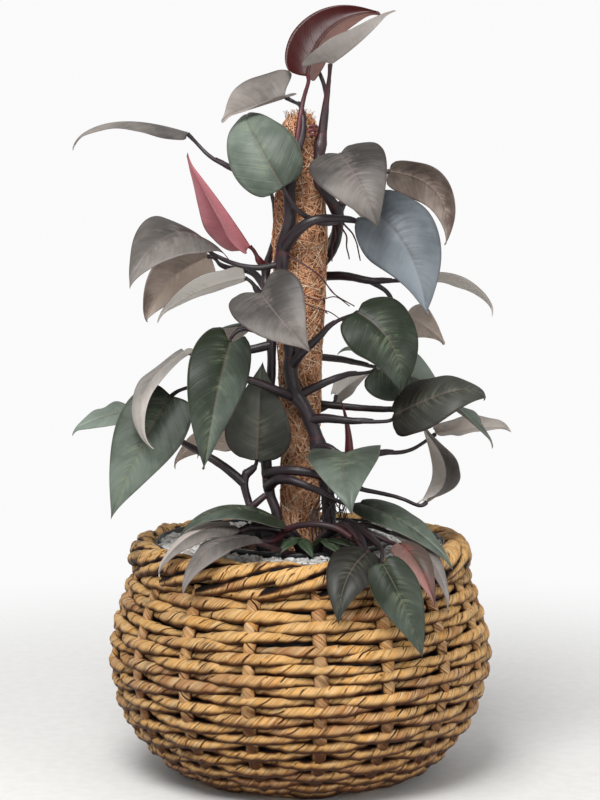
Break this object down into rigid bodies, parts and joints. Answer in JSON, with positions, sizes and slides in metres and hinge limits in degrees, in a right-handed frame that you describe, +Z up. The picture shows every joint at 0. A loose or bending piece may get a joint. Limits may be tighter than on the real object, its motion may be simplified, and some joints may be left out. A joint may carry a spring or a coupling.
{
  "type": "potted new red philodendron",
  "caption": "Climbing philodendron with drip-tipped, heart-shaped leaves on a coir pole, in a culture pot bedded in pumice in a lined, round-bellied rope basket.",
  "frame": {"origin": "centre of the basket's flat bottom, on the basket's axis", "axes": "+Z up along the coir pole, -Y towards the plant's front, +X to the right seen from the front"},
  "size_m": [0.5623, 0.4911, 0.9765],
  "materials": {
    "basket_rope": "twisted dried-leaf rope, golden tan with dark creases, dry sheen",
    "liner_film": "black film, creased and slightly glossy",
    "pot_plastic": "black injection-moulded plastic, satin, scuffed lip",
    "pumice": "porous pale grit, dry and matte",
    "potting_mix": "damp bark and coir mix, matte",
    "coir": "matted orange-brown coconut fibre",
    "pole_pipe": "plain grey pipe, hidden in the sleeve",
    "stem": "dark purple-brown skin with node rings, half gloss",
    "sprout": "young green skin, half gloss",
    "leaf_slate": "waxy slate-green upper side, maroon-brown underside",
    "leaf_blue": "waxy blue-grey upper side, brown underside",
    "leaf_green": "waxy dark green upper side, red-brown underside",
    "leaf_dark": "waxy deep green upper side, maroon underside",
    "leaf_red": "new leaf, glossy red with a pink midrib",
    "leaf_maroon": "glossy maroon with a paler pink half",
    "leaf_brown": "satin grey-brown underside with a pale midrib",
    "leaf_pale": "satin pale beige-grey underside with a pale midrib",
    "leaf_pink": "satin dusty pink upper side, maroon underside"
  },
  "bodies": {
    "root": {"basket_body": "basket_rope", "basket_rim": "basket_rope", "basket_liner": "liner_film", "culture_pot": "pot_plastic", "pumice_fill": "pumice", "root_ball": "potting_mix", "pole_coir": "coir", "pole_core": "pole_pipe", "vine_front": "stem", "vine_right": "stem", "vine_left": "stem", "vine_thin": "stem", "vine_rim_right": "stem", "vine_rim_left": "stem", "juvenile_sprout": "sprout", "leaf_crown_maroon": "leaf_maroon", "leaf_crown_grey": "leaf_slate", "leaf_top_left_grey": "leaf_slate", "leaf_far_left_edge": "leaf_slate", "leaf_round_green": "leaf_green", "leaf_new_red": "leaf_red", "leaf_left_grey": "leaf_slate", "leaf_left_brown": "leaf_brown", "leaf_left_pale": "leaf_pale", "leaf_centre_heart": "leaf_slate", "leaf_upper_heart": "leaf_slate", "leaf_right_brown": "leaf_brown", "leaf_big_blue": "leaf_blue", "leaf_right_edge": "leaf_pale", "leaf_front_green_right": "leaf_green", "leaf_behind_brown": "leaf_brown", "leaf_behind_green": "leaf_green", "leaf_hidden_tip": "leaf_green", "leaf_dark_broad": "leaf_dark", "leaf_far_right_pale": "leaf_pale", "leaf_right_green_tip": "leaf_green", "leaf_right_curled": "leaf_pale", "leaf_arrow_green": "leaf_green", "leaf_behind_pale": "leaf_pale", "leaf_big_left_green": "leaf_green", "leaf_left_curved": "leaf_pale", "leaf_front_green_left": "leaf_green", "leaf_up_green": "leaf_dark", "leaf_far_left_green": "leaf_green", "leaf_low_brown": "leaf_brown", "leaf_rim_left_green": "leaf_green", "leaf_rim_left_pale": "leaf_slate", "leaf_rim_left_grey": "leaf_slate", "leaf_rim_front_dark": "leaf_dark", "leaf_rim_front_green": "leaf_green", "leaf_rim_pink": "leaf_pink", "leaf_rim_slate": "leaf_slate", "leaf_rim_right_green": "leaf_green", "leaf_back_crown": "leaf_slate", "leaf_back_upper_left": "leaf_slate", "leaf_back_upper_right": "leaf_green", "leaf_back_mid_left": "leaf_green", "leaf_back_mid_right": "leaf_blue", "leaf_back_low_left": "leaf_green", "leaf_back_low_right": "leaf_dark"}
  },
  "joints": []
}
